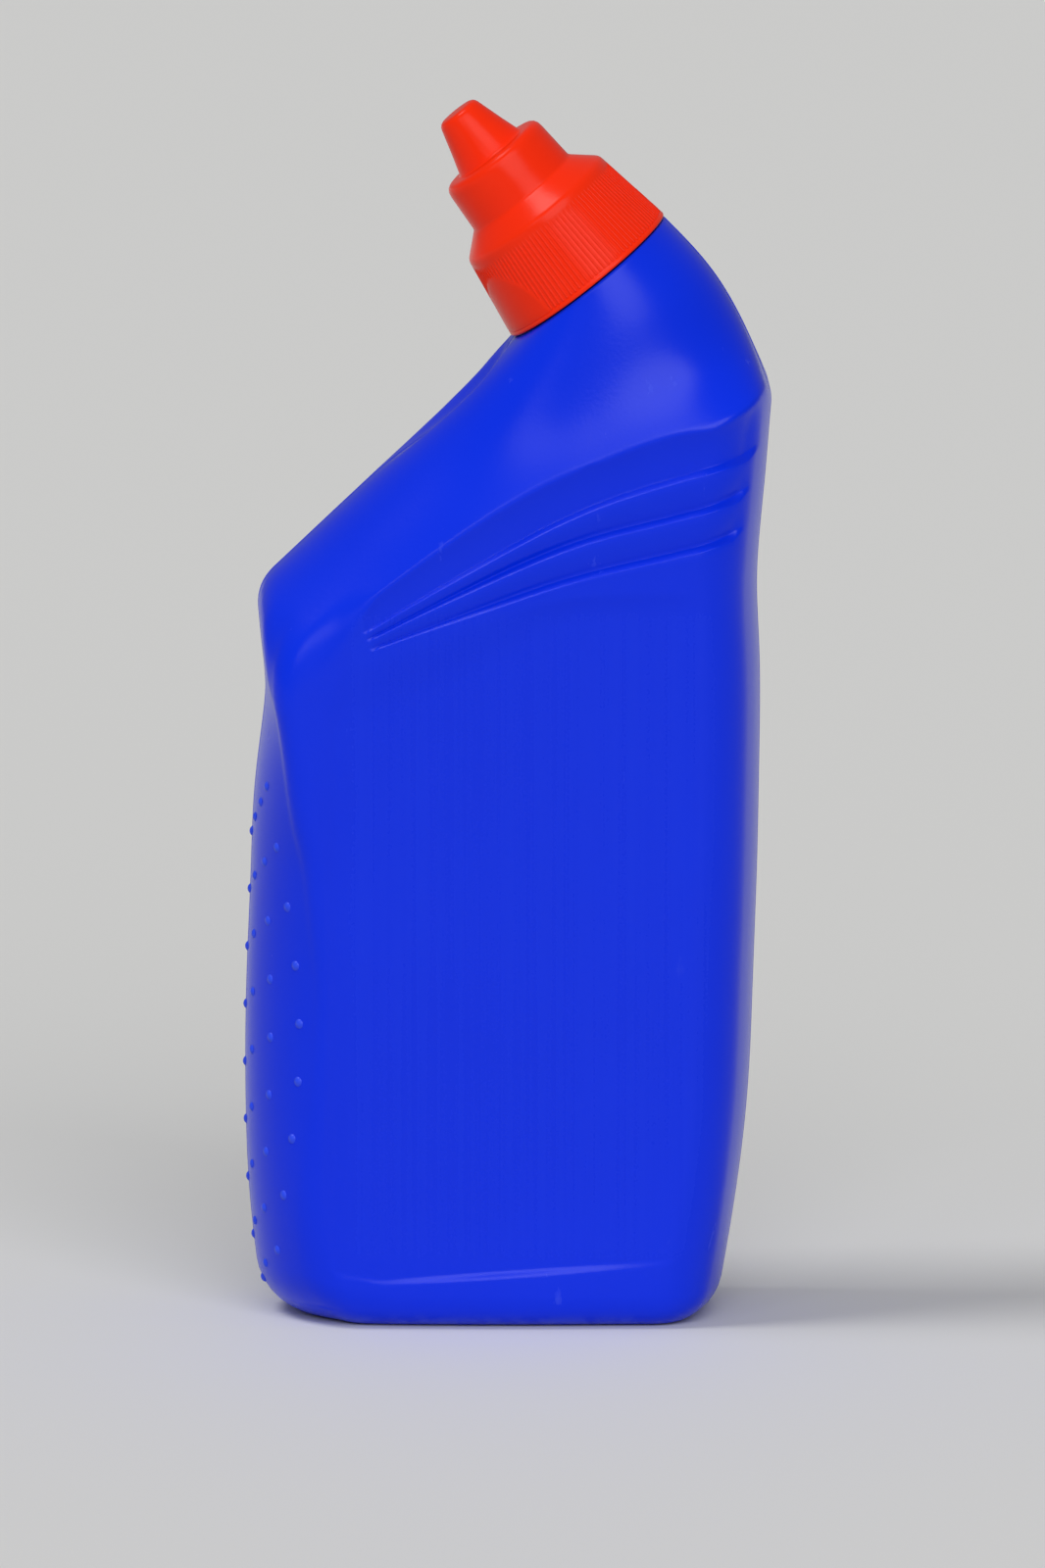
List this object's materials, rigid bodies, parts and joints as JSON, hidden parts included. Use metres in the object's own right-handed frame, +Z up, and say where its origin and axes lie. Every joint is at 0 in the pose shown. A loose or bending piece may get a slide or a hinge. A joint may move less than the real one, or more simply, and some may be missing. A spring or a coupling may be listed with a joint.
{
  "type": "toilet cleaner bottle",
  "caption": "Flat-sided blown bottle with a forward-leaning neck, stepped scallops and a dotted grip, closed by a tiered ribbed screw cap over a drip nozzle.",
  "frame": {"origin": "on the floor, under the middle of the bottle's length and depth", "axes": "+Z up, from the base to the cap; +Y across the bottle's depth, from one broad side to the other; the neck leans to -X, the front"},
  "size_m": [0.0939, 0.046, 0.2172],
  "materials": {
    "blue_polyethylene": "satin",
    "natural_polyethylene": "satin",
    "red_polypropylene": "satin"
  },
  "bodies": {
    "bottle_body": {"bottle": "blue_polyethylene", "nozzle_insert": "natural_polyethylene"},
    "cap_body": {"cap": "red_polypropylene"}
  },
  "joints": [
    {"name": "cap_lift", "type": "slide", "parent": "bottle_body", "child": "cap_body", "axis": [-0.6225, 0, 0.7826], "range_m": [0, 0.045]}
  ]
}
